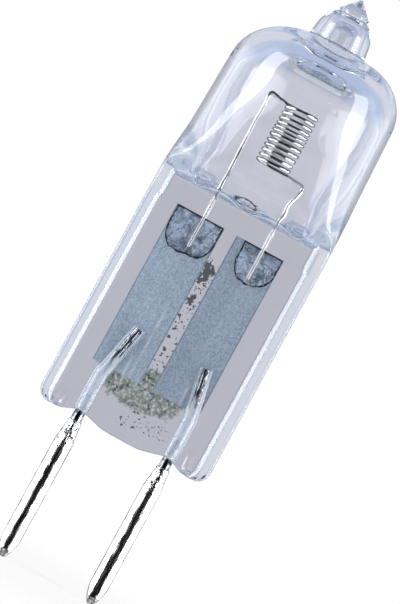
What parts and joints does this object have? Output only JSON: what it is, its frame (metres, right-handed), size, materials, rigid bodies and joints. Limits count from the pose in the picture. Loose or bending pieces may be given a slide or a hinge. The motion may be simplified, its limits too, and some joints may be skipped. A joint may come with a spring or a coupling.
{
  "type": "halogen capsule bulb",
  "caption": "Bi-pin halogen capsule bulb: clear quartz envelope with a pointed exhaust tip, flat pinch with foil seals, upright coiled filament and round contact pins.",
  "frame": {"origin": "on the lamp axis, on the flat middle of the pinch's foot, midway between the contact pins", "axes": "+Z along the lamp axis from the foot towards the exhaust tip, X across the flat pinch from pin to pin, -Y towards the viewer of the picture"},
  "size_m": [0.012, 0.0114, 0.0419],
  "materials": {
    "quartz": "clear fused quartz with a faint lilac-grey cast",
    "tungsten": "drawn tungsten wire, semi-bright",
    "molybdenum_foil": "rolled molybdenum foil, satin blue-grey, grain lengthwise",
    "molybdenum_wire": "molybdenum wire, semi-bright, darker where it is oxidised",
    "pin_plating": "bright plated pin, scuffed along its barrel"
  },
  "bodies": {
    "root": {"quartz_envelope": "quartz", "filament": "tungsten", "foil_left": "molybdenum_foil", "foil_right": "molybdenum_foil", "outer_lead_left": "molybdenum_wire", "outer_lead_right": "molybdenum_wire", "contact_pin_left": "pin_plating", "contact_pin_right": "pin_plating"}
  },
  "joints": []
}
